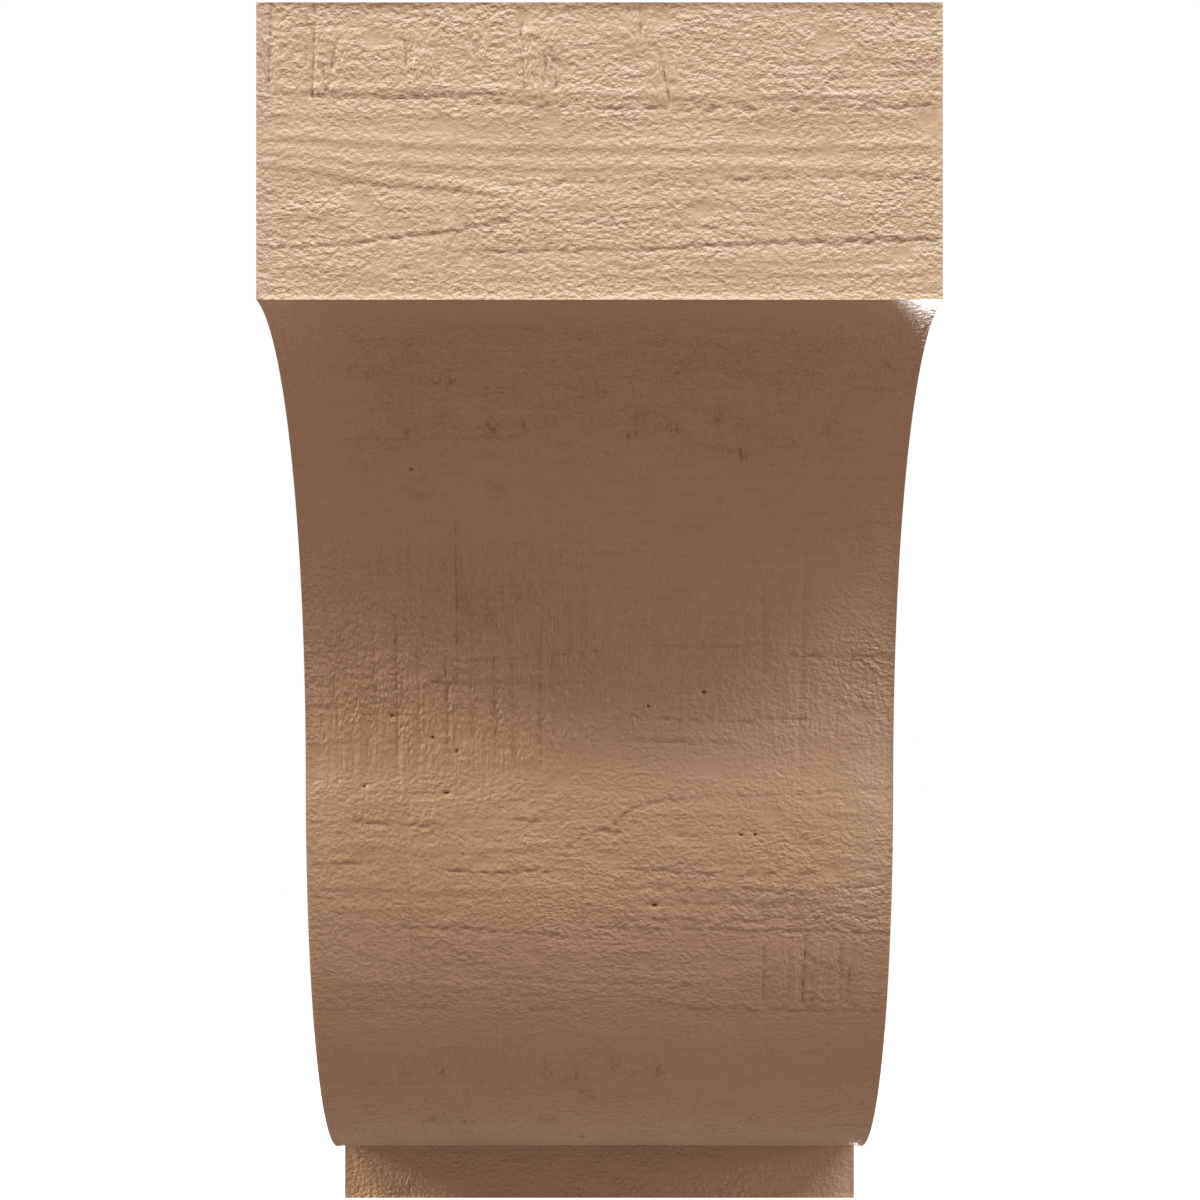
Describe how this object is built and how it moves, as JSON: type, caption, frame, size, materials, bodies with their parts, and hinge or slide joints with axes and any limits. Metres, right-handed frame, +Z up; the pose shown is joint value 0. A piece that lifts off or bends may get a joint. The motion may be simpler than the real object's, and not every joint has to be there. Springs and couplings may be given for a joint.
{
  "type": "corbel",
  "caption": "Straight-sided ogee corbel: a square block over an S-curved front and a small foot, one piece with a rough-sawn wood grain, fixed to a wall to carry a shelf, mantel or beam.",
  "frame": {"origin": "centre of the flat back face, which lies against the wall", "axes": "+Z up, -Y out from the wall towards the viewer, +X to the right-hand side seen from the front"},
  "size_m": [0.1524, 0.254, 0.3048],
  "materials": {
    "rough_sawn_timber": "rough-sawn grain in one even tan, matte with a faint satin sheen"
  },
  "bodies": {
    "root": {"corbel": "rough_sawn_timber"}
  },
  "joints": []
}
